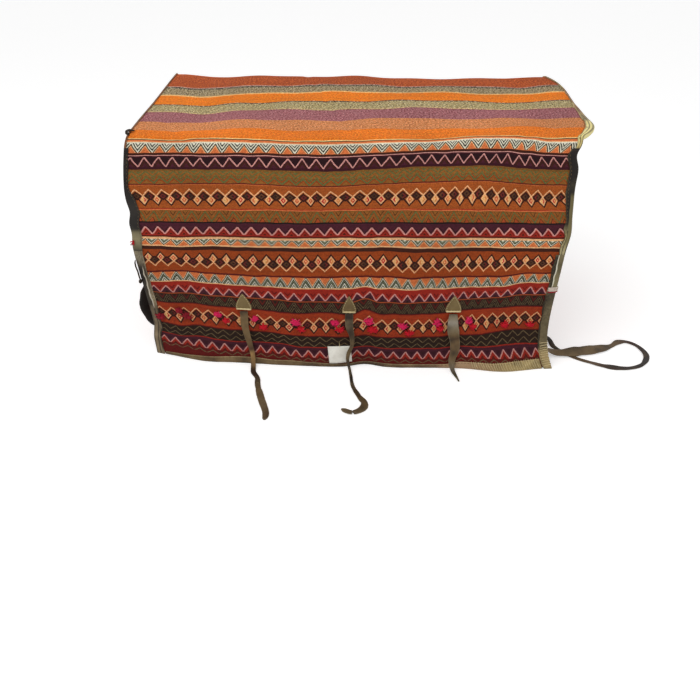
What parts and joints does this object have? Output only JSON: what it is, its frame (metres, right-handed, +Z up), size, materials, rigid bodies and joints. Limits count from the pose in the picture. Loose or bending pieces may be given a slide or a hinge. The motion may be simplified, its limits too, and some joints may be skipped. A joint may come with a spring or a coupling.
{
  "type": "mafrash bag",
  "caption": "Box-shaped woven bedding bag standing mouth down, with leather-bound seams, leather ties and a leather loop and handle on its ends.",
  "frame": {"origin": "on the floor under the middle of the bag's box, ties and loop left out", "axes": "+X along the bag towards the end with the loop, -Y out of the figured front, +Z up from the mouth to the striped base"},
  "size_m": [1.2993, 1.0525, 0.5724],
  "materials": {
    "woven_cloth": "coarse wool weave in bands",
    "end_cloth": "coarse wool weave",
    "brown_leather": "worn, dull",
    "tan_leather": "worn, dull",
    "dark_leather": "worn, slightly glossy"
  },
  "bodies": {
    "bag": {"main_cloth": "woven_cloth", "left_end_panel": "end_cloth", "right_end_panel": "end_cloth", "left_front_lower_binding": "brown_leather", "left_front_upper_binding": "brown_leather", "left_back_lower_binding": "brown_leather", "left_back_upper_binding": "brown_leather", "left_base_binding": "dark_leather", "right_front_lower_binding": "tan_leather", "right_front_upper_binding": "brown_leather", "right_back_lower_binding": "tan_leather", "right_back_upper_binding": "brown_leather", "right_base_binding": "tan_leather", "front_mouth_binding": "brown_leather", "back_mouth_binding": "brown_leather", "left_mouth_binding": "brown_leather", "right_mouth_binding": "brown_leather", "front_left_patch": "brown_leather", "front_middle_patch": "brown_leather", "front_right_patch": "brown_leather", "back_left_patch": "brown_leather", "back_middle_patch": "brown_leather", "back_right_patch": "brown_leather", "right_loop_patch": "dark_leather", "left_end_handle": "dark_leather"},
    "front_left_strap": {"front_left_tie": "brown_leather"},
    "front_middle_strap": {"front_middle_tie": "brown_leather"},
    "front_right_strap": {"front_right_tie": "brown_leather"},
    "back_left_strap": {"back_left_tie": "brown_leather"},
    "back_middle_strap": {"back_middle_tie": "brown_leather"},
    "back_right_strap": {"back_right_tie": "brown_leather"},
    "end_loop": {"right_end_loop": "dark_leather"}
  },
  "joints": [
    {"name": "front_left_tie_lift", "type": "hinge", "parent": "bag", "child": "front_left_strap", "pos_m": [-0.27292, -0.31055, 0.1481], "axis": [-0.9967, 0.0807, 0], "range_deg": [0, 90]},
    {"name": "front_middle_tie_lift", "type": "hinge", "parent": "bag", "child": "front_middle_strap", "pos_m": [-0.01554, -0.32251, 0.1481], "axis": [-0.9998, 0.0203, 0], "range_deg": [0, 90]},
    {"name": "front_right_tie_lift", "type": "hinge", "parent": "bag", "child": "front_right_strap", "pos_m": [0.23757, -0.32473, 0.1481], "axis": [-1, 0.0018, 0], "range_deg": [0, 90]},
    {"name": "back_left_tie_lift", "type": "hinge", "parent": "bag", "child": "back_left_strap", "pos_m": [-0.27275, 0.3213, 0.1481], "axis": [1, -0.0097, 0], "range_deg": [0, 90]},
    {"name": "back_middle_tie_lift", "type": "hinge", "parent": "bag", "child": "back_middle_strap", "pos_m": [-0.01548, 0.31879, 0.1481], "axis": [0.9999, -0.01, 0], "range_deg": [0, 90]},
    {"name": "back_right_tie_lift", "type": "hinge", "parent": "bag", "child": "back_right_strap", "pos_m": [0.2376, 0.31622, 0.1481], "axis": [0.9999, -0.0109, 0], "range_deg": [0, 90]},
    {"name": "end_loop_lift", "type": "hinge", "parent": "bag", "child": "end_loop", "pos_m": [0.46009, -0.2462, 0.05], "axis": [-0.0078, -1, 0], "range_deg": [0, 75]}
  ]
}
